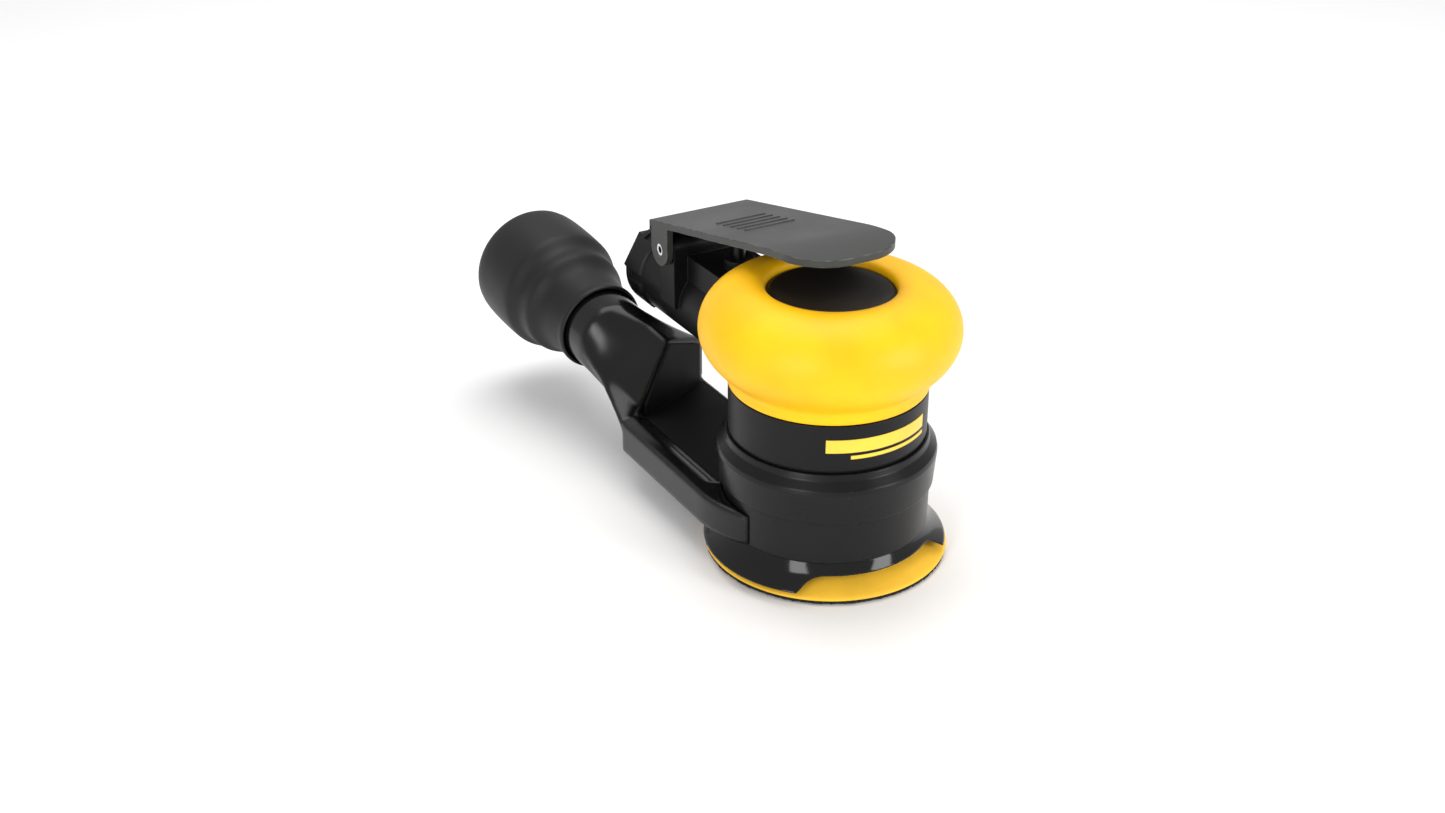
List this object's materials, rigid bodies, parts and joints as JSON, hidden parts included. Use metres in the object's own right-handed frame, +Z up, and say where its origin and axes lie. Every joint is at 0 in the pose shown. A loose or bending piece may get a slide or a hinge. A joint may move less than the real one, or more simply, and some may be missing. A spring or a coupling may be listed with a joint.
{
  "type": "orbital sander",
  "caption": "Air-driven palm-grip orbital sander: soft round grip, throttle lever, round pad with a skirt, and a side vacuum duct ending in a swivel hose cuff.",
  "frame": {"origin": "the motor axis on the pad's bottom face", "axes": "+Z up along the motor axis; +Y towards the air inlet and the hose; the vacuum duct is on the -X side"},
  "size_m": [0.0901, 0.2047, 0.1046],
  "materials": {
    "housing_black": "satin fine-grained moulding",
    "grip_yellow": "soft satin rubber",
    "foam_yellow": "soft matt foam",
    "hook_black": "hook fabric",
    "gloss_black": "glossy moulding",
    "cuff_black": "matt rubber",
    "lid_black": "dull dark moulding",
    "lever_paint": "dark grey textured paint",
    "pin_steel": "bright",
    "steel": "turned",
    "bearing_steel": "ground",
    "brass": "turned",
    "aluminium": "turned",
    "vane_grey": "machined composite",
    "seal_rubber": "matt",
    "muffler_felt": "sintered porous plastic",
    "decal_yellow": "printed foil"
  },
  "bodies": {
    "casing": {"air_screen": "steel", "clamp_collar": "gloss_black", "cuff_o_ring": "seal_rubber", "cylinder": "steel", "cylinder_dowel": "bearing_steel", "decal": "decal_yellow", "duct_lid": "lid_black", "front_bearing": "bearing_steel", "front_endplate": "steel", "grip": "grip_yellow", "housing": "housing_black", "housing_o_ring": "seal_rubber", "inlet_bushing": "aluminium", "inlet_o_ring": "seal_rubber", "lever_pin": "pin_steel", "lock_ring": "steel", "muffler_cap": "housing_black", "muffler_insert": "muffler_felt", "rear_bearing": "bearing_steel", "rear_endplate": "steel", "shroud": "housing_black", "skirt": "gloss_black", "vacuum_duct": "gloss_black", "valve_seat": "brass", "valve_spring": "steel"},
    "lever": {"lever": "lever_paint"},
    "valve_stem": {"valve_stem": "steel", "stem_o_ring": "seal_rubber"},
    "tip_valve": {"tip_valve": "brass"},
    "speed_ring": {"speed_ring": "housing_black"},
    "hose_cuff": {"hose_cuff": "cuff_black"},
    "motor_shaft": {"shaft_balancer": "steel", "rotor": "steel", "rotor_vanes": "vane_grey", "rotor_key": "steel", "spindle_bearing": "bearing_steel", "spindle_retaining_ring": "steel", "spindle_shield": "steel"},
    "pad": {"spindle": "steel", "pad_plate": "vane_grey", "pad_foam": "foam_yellow", "pad_hook_face": "hook_black"}
  },
  "joints": [
    {"name": "lever_press", "type": "hinge", "parent": "casing", "child": "lever", "pos_m": [0, 0.0743, 0.0781], "axis": [1, 0, 0], "range_deg": [0, 5], "stiffness_Nm_per_rad": 1, "springref_deg": -5.73},
    {"name": "stem_travel", "type": "slide", "parent": "casing", "child": "valve_stem", "axis": [0, 0, -1], "range_m": [0, 0.0018]},
    {"name": "valve_tilt", "type": "hinge", "parent": "casing", "child": "tip_valve", "pos_m": [0, 0.0692, 0.058], "axis": [1, 0, 0], "range_deg": [0, 6.8]},
    {"name": "speed_turn", "type": "hinge", "parent": "casing", "child": "speed_ring", "pos_m": [0, 0.1, 0.058], "axis": [0, 1, 0], "range_deg": [0, 90]},
    {"name": "cuff_swivel", "type": "hinge", "parent": "casing", "child": "hose_cuff", "pos_m": [-0.02426, 0.10783, 0.03787], "axis": [-0.0486, 0.9942, 0.0958], "continuous": true},
    {"name": "motor_spin", "type": "hinge", "parent": "casing", "child": "motor_shaft", "pos_m": [0, 0, 0.04], "axis": [0, 0, 1], "continuous": true},
    {"name": "pad_spin", "type": "hinge", "parent": "motor_shaft", "child": "pad", "pos_m": [0.00177, 0.00177, 0.02], "axis": [0, 0, 1], "continuous": true}
  ],
  "couplings": [
    {"joint": "stem_travel", "follows": "lever_press", "m_per_rad": 0.0203},
    {"joint": "valve_tilt", "follows": "lever_press", "ratio": 1.3355}
  ]
}
